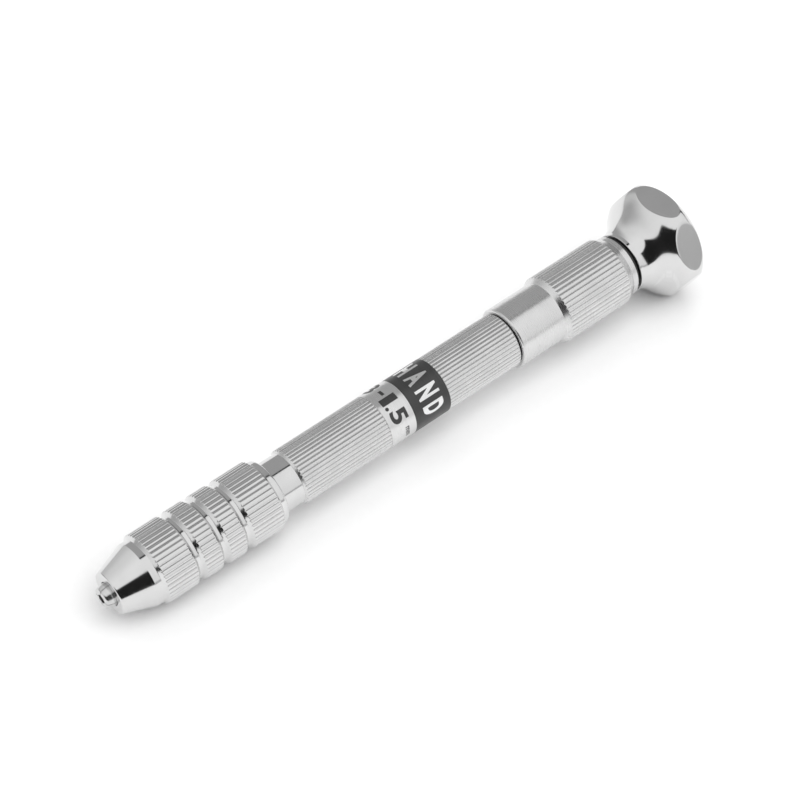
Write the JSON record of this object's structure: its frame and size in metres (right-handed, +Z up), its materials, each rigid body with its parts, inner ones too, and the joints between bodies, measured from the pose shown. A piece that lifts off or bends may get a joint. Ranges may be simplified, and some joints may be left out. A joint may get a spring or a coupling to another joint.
{
  "type": "pin vise drill",
  "caption": "Hand pin vise: slim knurled handle with a screw-down collet chuck at the nose, a screw-off rear cap over a spare collet, and a six-sided palm head that swivels.",
  "frame": {"origin": "centre of the fitted collet's mouth, at the tool's nose", "axes": "+X along the tool's axis from the collet's mouth to the palm head; +Z up, square to one of the palm head's six flats, the opposite flat facing straight down"},
  "size_m": [0.1164, 0.02, 0.0178],
  "materials": {
    "polished_plating": "polished bright plating over turned steel",
    "satin_plating": "satin bright plating over knurled steel",
    "collet_steel": "ground hardened steel",
    "label_print": "printed film, satin",
    "bronze": "sintered bronze",
    "spindle_steel": "ground steel",
    "spring_steel": "blackened spring steel",
    "black_nylon": "moulded nylon"
  },
  "bodies": {
    "handle": {"handle_tube": "satin_plating", "chuck_body": "polished_plating", "label_band": "label_print"},
    "collet": {"fitted_collet": "collet_steel"},
    "chuck": {"chuck_sleeve": "polished_plating"},
    "spare": {"spare_collet": "collet_steel"},
    "washer": {"thrust_washer": "black_nylon"},
    "rear_cap": {"rear_sleeve": "satin_plating", "pivot_bush": "bronze"},
    "head": {"palm_head": "polished_plating", "pivot_spindle": "spindle_steel", "retaining_clip": "spring_steel", "clip_washer": "spindle_steel"}
  },
  "joints": [
    {"name": "chuck_travel", "type": "slide", "parent": "handle", "child": "collet", "axis": [-1, 0, 0], "range_m": [0, 0.0045]},
    {"name": "chuck_turn", "type": "hinge", "parent": "collet", "child": "chuck", "pos_m": [0.02, 0, 0], "axis": [-1, 0, 0], "range_deg": [0, 2160]},
    {"name": "spare_collet_slide", "type": "slide", "parent": "handle", "child": "spare", "axis": [1, 0, 0], "range_m": [0, 0.0025]},
    {"name": "rear_travel", "type": "slide", "parent": "handle", "child": "washer", "axis": [1, 0, 0], "range_m": [0, 0.006]},
    {"name": "rear_turn", "type": "hinge", "parent": "washer", "child": "rear_cap", "pos_m": [0.09, 0, 0], "axis": [1, 0, 0], "range_deg": [0, 2880]},
    {"name": "head_swivel", "type": "hinge", "parent": "washer", "child": "head", "pos_m": [0.108, 0, 0], "axis": [1, 0, 0], "continuous": true}
  ],
  "couplings": [
    {"joint": "chuck_turn", "follows": "chuck_travel", "rad_per_m": 8377.6},
    {"joint": "rear_turn", "follows": "rear_travel", "rad_per_m": 8377.6}
  ]
}
